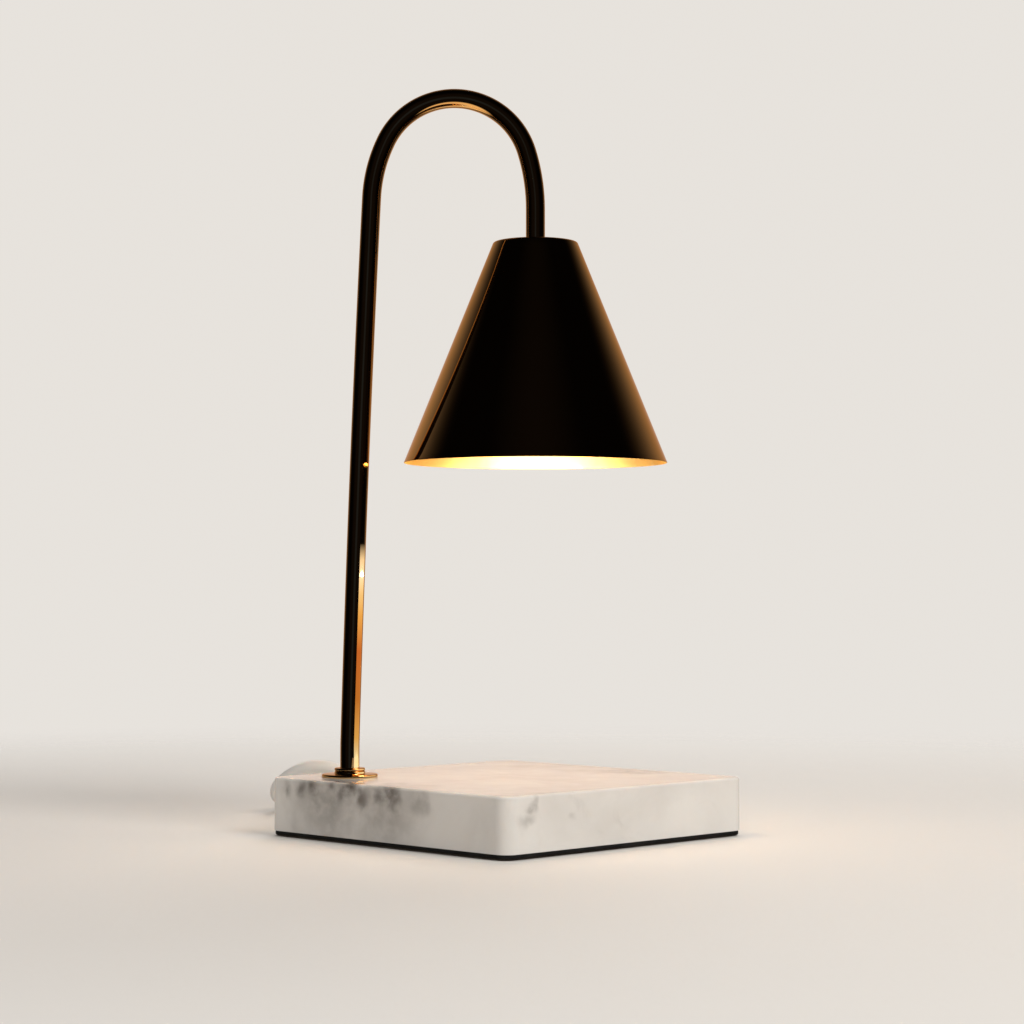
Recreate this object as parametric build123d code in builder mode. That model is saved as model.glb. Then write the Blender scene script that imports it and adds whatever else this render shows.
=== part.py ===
from build123d import *
import os
from math import cos, pi, radians, sin, sqrt

# Candle warmer lamp: a square marble base set cornerwise, a swan-neck tube rising near its
# left corner, and a cone shade with a twist-lock reflector bulb that melts the candle below.
# Millimetres. Origin at the centre of the pad's underside, +X from the pole to the shade,
# +Y away from the front corner, +Z up.

# ---- base ----
slab_side = 140
slab_thickness = 22
slab_corner_radius = 6
slab_edge_radius = 1.2
pad_thickness = 2
pad_inset = 0.4
pad_edge_radius = 0.8
pocket_depth = 15
pocket_length = 84
pocket_width = 31
pocket_corner_radius = 6
pocket_back_wall = 13
pocket_end_wall = 10

# ---- swan-neck tube ----
tube_diameter = 8
tube_wall = 0.75
pole_setback = 23.8
foot_straight = 12
foot_bend_radius = 120
pole_lean = 1.55
pole_length = 226.7
pole_bow = 1.25
shoulder_radius = 62
shoulder_turn = 22.7
crown_radius = 31.75
crown_turn = 137.4
fall_radius = 82
drop_length = 14

# ---- pole foot and hollow threaded nipples ----
nipple_diameter = 6.4
nipple_bore = 4.6
nipple_grip = 10
nipple_tail = 1.3
flange_diameter = 23.2
flange_thickness = 1.3
collar_diameter = 12.7
collar_step = 1.25
collar_edge_radius = 0.5
washer_thickness = 1.2
pole_washer_diameter = 16
lock_washer_diameter = 11
lock_washer_thickness = 0.9
lock_washer_gap = 1.2
nut_across_flats = 10
nut_thickness = 3.2

# ---- wiring ----
lead_diameter = 1.6
lead_spacing = 2.0
splice_diameter = 3.8
splice_length = 12
splice_height = 4.8
splice_spacing = 6
splice_start = 8
lead_bend_radius = 2.4
lead_turn_in = 2
core_bend_radius = 3
core_run = 7
core_spread = 1.4
core_step = 10
core_drop = 9
clamp_width = 18
clamp_length = 7
clamp_cover = 1.6
clamp_back_gap = 1
clamp_screw_spacing = 12.4
screw_diameter = 2.5
screw_head_diameter = 4.6
screw_head_height = 1.6
clamp_screw_bite = 4

# ---- shade ----
shade_height = 92.5
shade_rim_radius = 55
shade_top_radius = 17.6
shade_wall = 0.8
shade_top_thickness = 1.2
shade_edge_radius = 1.3

# ---- lamp holder and its bracket ----
bracket_sheet = 1
bracket_height = 11.8
bracket_width = 10
bracket_waist = 17
bracket_foot = 5
shade_washer_thickness = 0.8
shade_washer_diameter = 14
holder_diameter = 28
holder_height = 16
holder_lip = 2
holder_slot_depth = 9
holder_edge_radius = 1
bracket_screw_bite = 6
contact_diameter = 3.2
contact_post_diameter = 1.4
contact_post_length = 3.5
lead_hole_diameter = 2.2

# ---- bulb ----
bulb_twist = 30
pin_spacing = 10
pin_head_diameter = 5
pin_head_height = 3.6
pin_neck_diameter = 3
pin_root = 4
bulb_base_diameter = 20
bulb_base_height = 14
reflector_diameter = 50
reflector_depth = 32.5
reflector_wall = 1.2
reflector_rim_height = 3
reflector_bulge = 2.6
capsule_diameter = 9
capsule_length = 20
capsule_end_radius = 4
lens_thickness = 1.5
lens_recess = 0.6

# ---- cord ----
cord_diameter = 6
cord_exit_side_room = 7
cord_jacket_inside = 9
cord_exit_run = 11
dimmer_run_in = 13
dimmer_run_out = 10
plug_run_in = 10.5
grommet_neck_diameter = 8
grommet_head_diameter = 11
grommet_head_thickness = 1.5
grommet_length_outside = 8
grommet_tip_diameter = 7.2
tie_thickness = 0.6
tie_width = 7
tie_corner_radius = 2.4

# ---- inline dimmer ----
dimmer_length = 58
dimmer_width = 24
dimmer_height = 14
dimmer_wall = 1.5
dimmer_corner_radius = 8
dimmer_edge_radius = 2.2
dimmer_centre = (-33, 158)
dimmer_heading = 20
sleeve_length = 12
sleeve_root_diameter = 9.4
sleeve_tip_diameter = 7.2
sleeve_neck_diameter = 7.4
wheel_diameter = 21
wheel_thickness = 4
wheel_proud = 2.6
wheel_teeth = 30
wheel_tooth_depth = 0.5
wheel_turn_clearance = 0.5
spindle_diameter = 6
pot_diameter = 12
pot_height = 3.2
pot_socket_depth = 1.6
board_thickness = 1.6
board_side_gap = 1
board_length = 46
board_stand = 1.4
board_post_diameter = 3
board_hole_clearance = 0.6
triac_size = (9, 4.4, 5.2)
capacitor_size = (5, 9, 6.2)
dimmer_screw_spacing = 44
dimmer_screw_offset = 5.5
dimmer_boss_diameter = 6
dimmer_screw_bite = 4
dimmer_jacket_inside = 2
board_part_offset = 4.6
board_part_radius = 0.5

# ---- coil and plug ----
coil_centre = (48, 135)
coil_outer_turn_radius = 45
coil_turns_per_layer = 3.5
coil_start_angle = 105
coil_end_angle = 0
coil_edge_radius = 2.6
tie_angle = 200
plug_tail_centre = (90.5, 104)
plug_heading = -95
plug_body_length = 30
plug_body_width = 24
plug_body_height = 15
plug_neck_width = 13
plug_neck_height = 11
plug_edge_radius = 1.5
plug_shoulder_length = 10
plug_neck_radius = 4
plug_body_radius = 4.5
plug_relief_length = 18
blade_length = 16.5
blade_width = 6.3
blade_thickness = 1.5
blade_spacing = 12.7
blade_root = 8

# ---- clearances ----
running_clearance = 0.05
free_clearance = 0.3
fit_clearance = 0.1

# ---- levels and places that follow from the sizes ----
half_slab = slab_side / 2
slab_top = pad_thickness + slab_thickness
pocket_ceiling = pad_thickness + pocket_depth
pocket_back = half_slab - pocket_back_wall
pocket_left = -half_slab + pocket_end_wall
cord_exit_across = pocket_left + pocket_length - clamp_width / 2 - cord_exit_side_room
pole_inset = half_slab - pole_setback
pole_x = -pole_inset * sqrt(2)
cord_exit_height = pocket_ceiling - cord_diameter / 2
cord_radius = cord_diameter / 2
tube_bore = tube_diameter - 2 * tube_wall

slab_frame = Plane(origin=(0, 0, 0), x_dir=(1, 1, 0), z_dir=(0, 0, 1))
back_face = Plane(
    origin=slab_frame.from_local_coords((cord_exit_across, half_slab, cord_exit_height)),
    x_dir=(-1, -1, 0),
    z_dir=(-1, 1, 0),
)

os.makedirs("parts", exist_ok=True)
made = []


def finish(part, label):
    """Label a finished sub-part and write it to its own file."""
    part.part.label = label
    export_step(part.part, f"parts/{label}.step")
    made.append(label)


def ring(plane, outer, hole, thickness):
    """A flat washer whose lower face lies on the plane."""
    with BuildPart() as part:
        with BuildSketch(plane):
            Circle(outer / 2)
            Circle(hole / 2, mode=Mode.SUBTRACT)
        extrude(amount=thickness)
    return part


def hex_nut(plane, across_flats, hole, thickness):
    """A hexagon nut whose lower face lies on the plane."""
    with BuildPart() as part:
        with BuildSketch(plane):
            RegularPolygon(across_flats / 2, 6, major_radius=False)
            Circle(hole / 2, mode=Mode.SUBTRACT)
        extrude(amount=thickness)
    return part


def screws(places, head_face, bite):
    """Pan-head screws at places on the plane head_face, their shanks going up its normal."""
    with BuildPart() as part:
        with BuildSketch(head_face):
            with Locations(*places):
                Circle(screw_diameter / 2)
        extrude(amount=bite)
        with BuildSketch(head_face):
            with Locations(*places):
                Circle(screw_head_diameter / 2)
        extrude(amount=-screw_head_height)
    return part


def corner_radii(points):
    """The largest fillets for a route: 0.45 of each corner's shorter run."""
    points = [Vector(*point) for point in points]
    radii = []
    for before, corner, after in zip(points, points[1:], points[2:]):
        run_in = corner - before
        run_out = after - corner
        half_turn = radians(run_in.get_angle(run_out) / 2)
        radii.append(0.45 * min(run_in.length, run_out.length) * cos(half_turn) / sin(half_turn))
    return radii


def cord_tube(name, points):
    """A round cord along straight runs joined by tangent arcs."""
    radii = corner_radii(points)
    with BuildPart() as part:
        with BuildLine() as route:
            FilletPolyline(*points, radius=radii)
        with BuildSketch(Plane(origin=route.line @ 0, z_dir=route.line % 0)):
            Circle(cord_radius)
        sweep(path=route.line)
    length = route.wire().length
    ratio = part.part.volume / (pi * cord_radius**2 * length)
    print(f"{name}: {length:.1f} mm, radii {[round(r, 1) for r in radii]}, volume ratio {ratio:.4f}")
    return part, length


# ======== marble base ========

pole_hole = nipple_diameter + 2 * free_clearance
clamp_depth = cord_diameter + clamp_cover
clamp_centre_back = pocket_back - clamp_back_gap - clamp_length / 2
clamp_places = [
    (cord_exit_across + offset, clamp_centre_back)
    for offset in (-clamp_screw_spacing / 2, clamp_screw_spacing / 2)
]

with BuildPart() as marble_base:
    with BuildSketch(slab_frame.offset(pad_thickness)):
        RectangleRounded(slab_side, slab_side, slab_corner_radius)
    extrude(amount=slab_thickness)
    fillet(marble_base.faces().sort_by(Axis.Z)[-1].edges(), slab_edge_radius)
    with BuildSketch(slab_frame.offset(pad_thickness)):
        with Locations((pocket_left + pocket_length / 2, pocket_back - pocket_width / 2)):
            RectangleRounded(pocket_length, pocket_width, pocket_corner_radius)
    extrude(amount=pocket_depth, mode=Mode.SUBTRACT)
    with BuildSketch(slab_frame.offset(pocket_ceiling)):
        with Locations((-pole_inset, pole_inset)):
            Circle(pole_hole / 2)
    extrude(amount=slab_top - pocket_ceiling, mode=Mode.SUBTRACT)
    with BuildSketch(slab_frame.offset(pocket_ceiling)):
        with Locations(*clamp_places):
            Circle(screw_diameter / 2)
    extrude(amount=clamp_screw_bite, mode=Mode.SUBTRACT)
    with BuildSketch(back_face):
        Circle(grommet_neck_diameter / 2)
    extrude(amount=-pocket_back_wall, mode=Mode.SUBTRACT)
finish(marble_base, "marble_base")

pad_side = slab_side - 2 * pad_inset
with BuildPart() as base_pad:
    with BuildSketch(slab_frame):
        RectangleRounded(pad_side, pad_side, slab_corner_radius - pad_inset)
    extrude(amount=pad_thickness)
    fillet(base_pad.faces().sort_by(Axis.Z)[0].edges(), pad_edge_radius)
finish(base_pad, "base_pad")

# ======== swan-neck tube and its foot ========

with BuildLine(Plane.XZ) as neck_path:
    foot = Line((pole_x, slab_top), (pole_x, slab_top + foot_straight))
    foot_bend = JernArc(foot @ 1, foot % 1, radius=foot_bend_radius, arc_size=-pole_lean)
    bow_radius = pole_length / radians(pole_bow)
    pole = JernArc(foot_bend @ 1, foot_bend % 1, radius=bow_radius, arc_size=-pole_bow)
    shoulder = JernArc(pole @ 1, pole % 1, radius=shoulder_radius, arc_size=-shoulder_turn)
    crown = JernArc(shoulder @ 1, shoulder % 1, radius=crown_radius, arc_size=-crown_turn)
    fall_turn = 180 - pole_lean - pole_bow - shoulder_turn - crown_turn
    fall = JernArc(crown @ 1, crown % 1, radius=fall_radius, arc_size=-fall_turn)
    drop = PolarLine(fall @ 1, drop_length, angle=-90)

neck_end = drop @ 1
shade_x = neck_end.X
shade_top = neck_end.Z
shade_rim = shade_top - shade_height
print(f"shade axis x {shade_x:.4f}, top z {shade_top:.4f}, rim z {shade_rim:.4f}")

with BuildPart() as gooseneck_tube:
    with BuildSketch(Plane.XY.offset(slab_top)):
        with Locations((pole_x, 0)):
            Circle(tube_diameter / 2)
            Circle(tube_bore / 2, mode=Mode.SUBTRACT)
    sweep(path=neck_path.line)
finish(gooseneck_tube, "gooseneck_tube")

foot_bore = tube_diameter + 2 * fit_clearance
with BuildPart() as pole_flange:
    with BuildSketch(Plane.XY.offset(slab_top)):
        with Locations((pole_x, 0)):
            Circle(flange_diameter / 2)
    extrude(amount=flange_thickness)
    fillet(pole_flange.faces().sort_by(Axis.Z)[-1].edges(), collar_edge_radius)
    with BuildSketch(Plane.XY.offset(slab_top + flange_thickness)):
        with Locations((pole_x, 0)):
            Circle(collar_diameter / 2)
    extrude(amount=collar_step)
    fillet(pole_flange.faces().sort_by(Axis.Z)[-1].edges(), collar_edge_radius)
    with BuildSketch(Plane.XY.offset(slab_top)):
        with Locations((pole_x, 0)):
            Circle(foot_bore / 2)
    extrude(amount=flange_thickness + collar_step, mode=Mode.SUBTRACT)
finish(pole_flange, "pole_flange")

collar_bottom = slab_top + flange_thickness + collar_step
with BuildPart() as pole_collar:
    with BuildSketch(Plane.XY.offset(collar_bottom)):
        with Locations((pole_x, 0)):
            Circle(collar_diameter / 2)
    extrude(amount=collar_step)
    fillet(pole_collar.edges(), collar_edge_radius)
    with BuildSketch(Plane.XY.offset(collar_bottom)):
        with Locations((pole_x, 0)):
            Circle(foot_bore / 2)
    extrude(amount=collar_step, mode=Mode.SUBTRACT)
finish(pole_collar, "pole_collar")

pole_washer_z = pocket_ceiling - washer_thickness
lock_washer_z = pole_washer_z - lock_washer_thickness
pole_nut_z = lock_washer_z - nut_thickness
pole_nipple_z = pole_nut_z - nipple_tail
under_nut_hole = nipple_diameter + 2 * fit_clearance

pole_nipple = ring(
    Plane(origin=(pole_x, 0, pole_nipple_z)),
    nipple_diameter,
    nipple_bore,
    slab_top + nipple_grip - pole_nipple_z,
)
finish(pole_nipple, "pole_nipple")

pole_washer = ring(
    Plane(origin=(pole_x, 0, pole_washer_z)),
    pole_washer_diameter,
    under_nut_hole,
    washer_thickness,
)
finish(pole_washer, "pole_washer")

with BuildPart() as pole_lock_washer:
    with BuildSketch(Plane(origin=(pole_x, 0, lock_washer_z))):
        Circle(lock_washer_diameter / 2)
        Circle(under_nut_hole / 2, mode=Mode.SUBTRACT)
        with Locations((lock_washer_diameter / 2, 0)):
            Rectangle(lock_washer_diameter, lock_washer_gap, mode=Mode.SUBTRACT)
    extrude(amount=lock_washer_thickness)
finish(pole_lock_washer, "pole_lock_washer")

pole_nut = hex_nut(
    Plane(origin=(pole_x, 0, pole_nut_z)), nut_across_flats, under_nut_hole, nut_thickness
)
finish(pole_nut, "pole_nut")

# ======== shade, its fixing and the lamp holder ========

with BuildPart() as shade:
    slope = (shade_rim_radius - shade_top_radius) / shade_height
    wall_across = shade_wall * sqrt(1 + slope**2)
    inner_top = shade_top - shade_top_thickness
    inner_top_radius = shade_top_radius + slope * shade_top_thickness - wall_across
    shade_hole = nipple_diameter + 2 * fit_clearance
    with BuildSketch(Plane.XZ) as shade_profile:
        with BuildLine():
            Polyline(
                (shade_x + shade_hole / 2, shade_top),
                (shade_x + shade_top_radius, shade_top),
                (shade_x + shade_rim_radius, shade_rim),
                (shade_x + shade_rim_radius - wall_across, shade_rim),
                (shade_x + inner_top_radius, inner_top),
                (shade_x + shade_hole / 2, inner_top),
                close=True,
            )
        make_face()
        top_corner = (shade_x + shade_top_radius, shade_top, 0)
        fillet(shade_profile.vertices().sort_by_distance(top_corner)[0], shade_edge_radius)
    revolve(axis=Axis((shade_x, 0, 0), (0, 0, 1)))
finish(shade, "shade")

bracket_top = inner_top
bracket_bottom = bracket_top - bracket_height
with BuildPart() as holder_bracket:
    with BuildSketch(Plane.XZ.offset(-bracket_width / 2)):
        with BuildLine():
            waist = bracket_waist / 2
            foot_end = waist + bracket_foot
            Polyline(
                (shade_x - foot_end, bracket_bottom),
                (shade_x - waist + bracket_sheet, bracket_bottom),
                (shade_x - waist + bracket_sheet, bracket_top - bracket_sheet),
                (shade_x + waist - bracket_sheet, bracket_top - bracket_sheet),
                (shade_x + waist - bracket_sheet, bracket_bottom),
                (shade_x + foot_end, bracket_bottom),
                (shade_x + foot_end, bracket_bottom + bracket_sheet),
                (shade_x + waist, bracket_bottom + bracket_sheet),
                (shade_x + waist, bracket_top),
                (shade_x - waist, bracket_top),
                (shade_x - waist, bracket_bottom + bracket_sheet),
                (shade_x - foot_end, bracket_bottom + bracket_sheet),
                close=True,
            )
        make_face()
    extrude(amount=bracket_width)
    with BuildSketch(Plane(origin=(shade_x, 0, bracket_bottom))):
        Circle(shade_hole / 2)
        with Locations((-waist - bracket_foot / 2, 0), (waist + bracket_foot / 2, 0)):
            Circle(screw_diameter / 2 + fit_clearance)
    extrude(amount=bracket_height, mode=Mode.SUBTRACT)
finish(holder_bracket, "holder_bracket")

shade_washer_z = bracket_top - bracket_sheet - shade_washer_thickness
shade_nut_z = shade_washer_z - nut_thickness
shade_nipple_z = shade_nut_z - nipple_tail
shade_washer = ring(
    Plane(origin=(shade_x, 0, shade_washer_z)),
    shade_washer_diameter,
    under_nut_hole,
    shade_washer_thickness,
)
finish(shade_washer, "shade_washer")

shade_nut = hex_nut(
    Plane(origin=(shade_x, 0, shade_nut_z)), nut_across_flats, under_nut_hole, nut_thickness
)
finish(shade_nut, "shade_nut")

shade_nipple = ring(
    Plane(origin=(shade_x, 0, shade_nipple_z)),
    nipple_diameter,
    nipple_bore,
    shade_top + nipple_grip - shade_nipple_z,
)
finish(shade_nipple, "shade_nipple")

holder_top = bracket_bottom
holder_bottom = holder_top - holder_height
slot_ceiling = holder_bottom + holder_slot_depth
pin_circle = pin_spacing / 2
pin_angles = (90, 270)
bracket_screw_x = waist + bracket_foot / 2
neck_slot_width = pin_neck_diameter + 2 * free_clearance
head_slot_width = pin_head_diameter + 2 * free_clearance

slot_tracks = [CenterArc((0, 0), pin_circle, angle, bulb_twist) for angle in pin_angles]

with BuildPart() as lamp_holder:
    with BuildSketch(Plane(origin=(shade_x, 0, holder_bottom))):
        Circle(holder_diameter / 2)
    extrude(amount=holder_height)
    fillet(lamp_holder.edges(), holder_edge_radius)
    for track in slot_tracks:
        with BuildSketch(Plane(origin=(shade_x, 0, holder_bottom))):
            SlotArc(track, neck_slot_width)
            with Locations(track @ 1):
                Circle(head_slot_width / 2)
        extrude(amount=holder_lip, mode=Mode.SUBTRACT)
        with BuildSketch(Plane(origin=(shade_x, 0, holder_bottom + holder_lip))):
            SlotArc(track, head_slot_width)
        extrude(amount=holder_slot_depth - holder_lip, mode=Mode.SUBTRACT)
    with BuildSketch(Plane(origin=(shade_x, 0, slot_ceiling))):
        with PolarLocations(pin_circle, 2, start_angle=pin_angles[0]):
            Circle(lead_hole_diameter / 2)
    extrude(amount=holder_top - slot_ceiling, mode=Mode.SUBTRACT)
    with BuildSketch(Plane(origin=(shade_x, 0, holder_top))):
        with Locations((-bracket_screw_x, 0), (bracket_screw_x, 0)):
            Circle(screw_diameter / 2)
    extrude(amount=-bracket_screw_bite, mode=Mode.SUBTRACT)
finish(lamp_holder, "lamp_holder")

bracket_screws = screws(
    [(-bracket_screw_x, 0), (bracket_screw_x, 0)],
    Plane(origin=(shade_x, 0, bracket_bottom + bracket_sheet), x_dir=(1, 0, 0), z_dir=(0, 0, -1)),
    bracket_sheet + bracket_screw_bite,
)
finish(bracket_screws, "bracket_screws")

# ======== twist-lock bulb ========

bulb_base_top = holder_bottom - free_clearance
bulb_base_bottom = bulb_base_top - bulb_base_height
pin_head_bottom = holder_bottom + holder_lip + free_clearance
pin_head_top = pin_head_bottom + pin_head_height

with BuildPart() as bulb_base:
    with BuildSketch(Plane(origin=(shade_x, 0, bulb_base_bottom))):
        Circle(bulb_base_diameter / 2)
    extrude(amount=bulb_base_height)
    fillet(bulb_base.faces().sort_by(Axis.Z)[-1].edges(), holder_edge_radius)
    with BuildSketch(Plane(origin=(shade_x, 0, bulb_base_top))):
        with PolarLocations(pin_circle, 2, start_angle=pin_angles[0]):
            Circle(pin_neck_diameter / 2)
    extrude(amount=-pin_root, mode=Mode.SUBTRACT)
finish(bulb_base, "bulb_base")

with BuildPart() as bulb_pins:
    with BuildSketch(Plane(origin=(shade_x, 0, bulb_base_top - pin_root))):
        with PolarLocations(pin_circle, 2, start_angle=pin_angles[0]):
            Circle(pin_neck_diameter / 2)
    extrude(amount=pin_head_bottom - bulb_base_top + pin_root)
    with BuildSketch(Plane(origin=(shade_x, 0, pin_head_bottom))):
        with PolarLocations(pin_circle, 2, start_angle=pin_angles[0]):
            Circle(pin_head_diameter / 2)
    extrude(amount=pin_head_height)
finish(bulb_pins, "bulb_pins")

contact_tip = pin_head_top + free_clearance
contact_post_top = slot_ceiling + contact_post_length
with BuildPart() as holder_contacts:
    with BuildSketch(Plane(origin=(shade_x, 0, contact_tip))):
        with PolarLocations(pin_circle, 2, start_angle=pin_angles[0]):
            Circle(contact_diameter / 2)
    extrude(amount=slot_ceiling - contact_tip)
    with BuildSketch(Plane(origin=(shade_x, 0, slot_ceiling))):
        with PolarLocations(pin_circle, 2, start_angle=pin_angles[0]):
            Circle(contact_post_diameter / 2)
    extrude(amount=contact_post_length)
finish(holder_contacts, "holder_contacts")

reflector_front = bulb_base_bottom - reflector_depth
reflector_radius = reflector_diameter / 2
neck_radius = bulb_base_diameter / 2
rim_top = reflector_front + reflector_rim_height
mid_radius = (neck_radius + reflector_radius) / 2 + reflector_bulge
mid_height = (bulb_base_bottom + rim_top) / 2 + reflector_bulge
capsule_hole = capsule_diameter / 2 + free_clearance

with BuildPart() as bulb_reflector:
    with BuildSketch(Plane.XZ):
        with BuildLine():
            ThreePointArc(
                (shade_x + neck_radius, bulb_base_bottom),
                (shade_x + mid_radius, mid_height),
                (shade_x + reflector_radius, rim_top),
            )
            Polyline(
                (shade_x + reflector_radius, rim_top),
                (shade_x + reflector_radius, reflector_front),
                (shade_x + reflector_radius - reflector_wall, reflector_front),
                (shade_x + reflector_radius - reflector_wall, rim_top),
            )
            ThreePointArc(
                (shade_x + reflector_radius - reflector_wall, rim_top),
                (shade_x + mid_radius - reflector_wall, mid_height - reflector_wall / 2),
                (shade_x + neck_radius - reflector_wall, bulb_base_bottom - reflector_wall),
            )
            Polyline(
                (shade_x + neck_radius - reflector_wall, bulb_base_bottom - reflector_wall),
                (shade_x + capsule_hole, bulb_base_bottom - reflector_wall),
                (shade_x + capsule_hole, bulb_base_bottom),
                (shade_x + neck_radius, bulb_base_bottom),
            )
        make_face()
    revolve(axis=Axis((shade_x, 0, 0), (0, 0, 1)))
finish(bulb_reflector, "bulb_reflector")

with BuildPart() as bulb_capsule:
    with BuildSketch(Plane(origin=(shade_x, 0, bulb_base_bottom - capsule_length))):
        Circle(capsule_diameter / 2)
    extrude(amount=capsule_length)
    fillet(bulb_capsule.faces().sort_by(Axis.Z)[0].edges(), capsule_end_radius)
finish(bulb_capsule, "bulb_capsule")

lens_radius = reflector_radius - reflector_wall - fit_clearance
with BuildPart() as bulb_lens:
    with BuildSketch(Plane(origin=(shade_x, 0, reflector_front + lens_recess))):
        Circle(lens_radius)
    extrude(amount=lens_thickness)
finish(bulb_lens, "bulb_lens")

# ======== wiring inside the base and the neck ========

splice_left = -pole_inset + splice_start
core_end = pocket_back - cord_jacket_inside


def wire(points, middle, more_points, bend):
    """A round insulated wire: filleted points, then an optional path, then more points."""
    with BuildPart() as part:
        with BuildLine() as route:
            FilletPolyline(*points, radius=bend)
            if middle:
                add(middle)
                FilletPolyline(*more_points, radius=bend)
        whole = route.wire()
        with BuildSketch(Plane(origin=whole @ 0, z_dir=whole % 0)):
            Circle(lead_diameter / 2)
        sweep(path=whole)
    return part


def slab_point(across, back, height):
    """A point given in the slab's own directions."""
    return slab_frame.from_local_coords(Vector(across, back, height))


for side, name in ((1, "live_lead"), (-1, "neutral_lead")):
    lead_y = side * lead_spacing / 2
    splice_back = pole_inset + side * splice_spacing / 2
    splice_middle = splice_left + splice_length / 2
    lead = wire(
        [
            slab_point(splice_middle - fit_clearance, splice_back, splice_height),
            slab_point(splice_left - lead_turn_in, splice_back, splice_height),
            Vector(pole_x, lead_y, splice_height),
            Vector(pole_x, lead_y, slab_top),
        ],
        Pos(0, lead_y, 0) * neck_path.line,
        [
            Vector(shade_x, lead_y, shade_top),
            Vector(shade_x, lead_y, shade_nipple_z - fit_clearance),
            Vector(shade_x, side * pin_circle, holder_top + lead_diameter),
            Vector(shade_x, side * pin_circle, contact_post_top),
        ],
        lead_bend_radius,
    )
    finish(lead, name)

with BuildPart() as cord_cores:
    for side in (1, -1):
        splice_back = pole_inset + side * splice_spacing / 2
        core_across = cord_exit_across - side * lead_spacing / 2
        core_turn = core_end - core_run + side * core_spread
        with BuildLine() as core_route:
            FilletPolyline(
                slab_point(core_across, core_end, cord_exit_height),
                slab_point(core_across, core_turn, cord_exit_height),
                slab_point(cord_exit_across - core_step, core_turn, pocket_ceiling - core_drop),
                slab_point(cord_exit_across - 2 * core_step, splice_back, splice_height),
                slab_point(splice_middle + fit_clearance, splice_back, splice_height),
                radius=core_bend_radius,
            )
        with BuildSketch(Plane(origin=core_route.line @ 0, z_dir=core_route.line % 0)):
            Circle(lead_diameter / 2)
        sweep(path=core_route.line)
finish(cord_cores, "cord_cores")

with BuildPart() as splice_sleeves:
    for side in (1, -1):
        splice_back = pole_inset + side * splice_spacing / 2
        splice_plane = Plane(
            origin=slab_point(splice_left, splice_back, splice_height),
            x_dir=(0, 0, 1),
            z_dir=(1, 1, 0),
        )
        with BuildSketch(splice_plane):
            Circle(splice_diameter / 2)
            Circle(lead_diameter / 2, mode=Mode.SUBTRACT)
        extrude(amount=splice_length)
finish(splice_sleeves, "splice_sleeves")

# ======== cord anchor in the base ========

with BuildPart() as cord_clamp:
    with BuildSketch(slab_frame.offset(pocket_ceiling)):
        with Locations((cord_exit_across, clamp_centre_back)):
            Rectangle(clamp_width, clamp_length)
        with Locations(*clamp_places):
            Circle(screw_diameter / 2 + fit_clearance, mode=Mode.SUBTRACT)
    extrude(amount=-clamp_depth)
    with BuildSketch(back_face.offset(-pocket_back_wall)):
        Circle(cord_radius)
        with Locations((0, cord_radius / 2)):
            Rectangle(cord_diameter, cord_radius)
    extrude(amount=-clamp_back_gap - clamp_length, mode=Mode.SUBTRACT)
finish(cord_clamp, "cord_clamp")

clamp_screws = screws(
    clamp_places, slab_frame.offset(pocket_ceiling - clamp_depth), clamp_depth + clamp_screw_bite
)
finish(clamp_screws, "clamp_screws")

with BuildPart() as cord_grommet:
    with BuildSketch(back_face):
        Circle(grommet_neck_diameter / 2)
    extrude(amount=-pocket_back_wall)
    with BuildSketch(back_face):
        Circle(grommet_head_diameter / 2)
    extrude(amount=grommet_head_thickness)
    with BuildSketch(back_face.offset(grommet_head_thickness)):
        Circle(sleeve_root_diameter / 2)
    with BuildSketch(back_face.offset(grommet_length_outside)):
        Circle(grommet_tip_diameter / 2)
    loft()
    with BuildSketch(back_face.offset(grommet_length_outside)):
        Circle(cord_radius)
    extrude(amount=-grommet_length_outside - pocket_back_wall, mode=Mode.SUBTRACT)
finish(cord_grommet, "cord_grommet")

with BuildPart() as cord_inner_end:
    with BuildSketch(back_face.offset(grommet_length_outside)):
        Circle(cord_radius)
    extrude(amount=-grommet_length_outside - pocket_back_wall - cord_jacket_inside)
finish(cord_inner_end, "cord_inner_end")

# ======== inline dimmer ========

dimmer_frame = Plane(
    origin=(dimmer_centre[0], dimmer_centre[1], 0),
    x_dir=(cos(radians(dimmer_heading)), sin(radians(dimmer_heading)), 0),
    z_dir=(0, 0, 1),
)
split_height = dimmer_height / 2
wheel_back = -dimmer_width / 2 - wheel_proud + wheel_diameter / 2
inner_length = dimmer_length - 2 * dimmer_wall
inner_width = dimmer_width - 2 * dimmer_wall
wheel_bottom = split_height - wheel_thickness / 2
wheel_top = split_height + wheel_thickness / 2
wheel_space = wheel_diameter / 2 + wheel_turn_clearance
board_bottom = dimmer_wall + board_stand
board_top = board_bottom + board_thickness
board_width = inner_width - 2 * board_side_gap
post_x = board_length / 2 - board_post_diameter
post_y = board_width / 2 - board_post_diameter
screw_places = [
    (-dimmer_screw_spacing / 2, dimmer_screw_offset),
    (dimmer_screw_spacing / 2, dimmer_screw_offset),
]


def dimmer_end(end, reach):
    """The plane across the cord at one end (-1 or 1) of the dimmer, reach beyond the case."""
    centre = Vector(end * (dimmer_length / 2 + reach), 0, split_height)
    return Plane(origin=dimmer_frame.from_local_coords(centre), z_dir=dimmer_frame.x_dir * end)


def round_on_dimmer(places, diameter, height, amount, mode=Mode.ADD):
    """Round bosses or holes at places on the dimmer, from a height, by a signed amount."""
    with BuildSketch(dimmer_frame.offset(height)) as rounds:
        with Locations(*places):
            Circle(diameter / 2)
    extrude(rounds.sketch, amount=amount, mode=mode)


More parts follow.
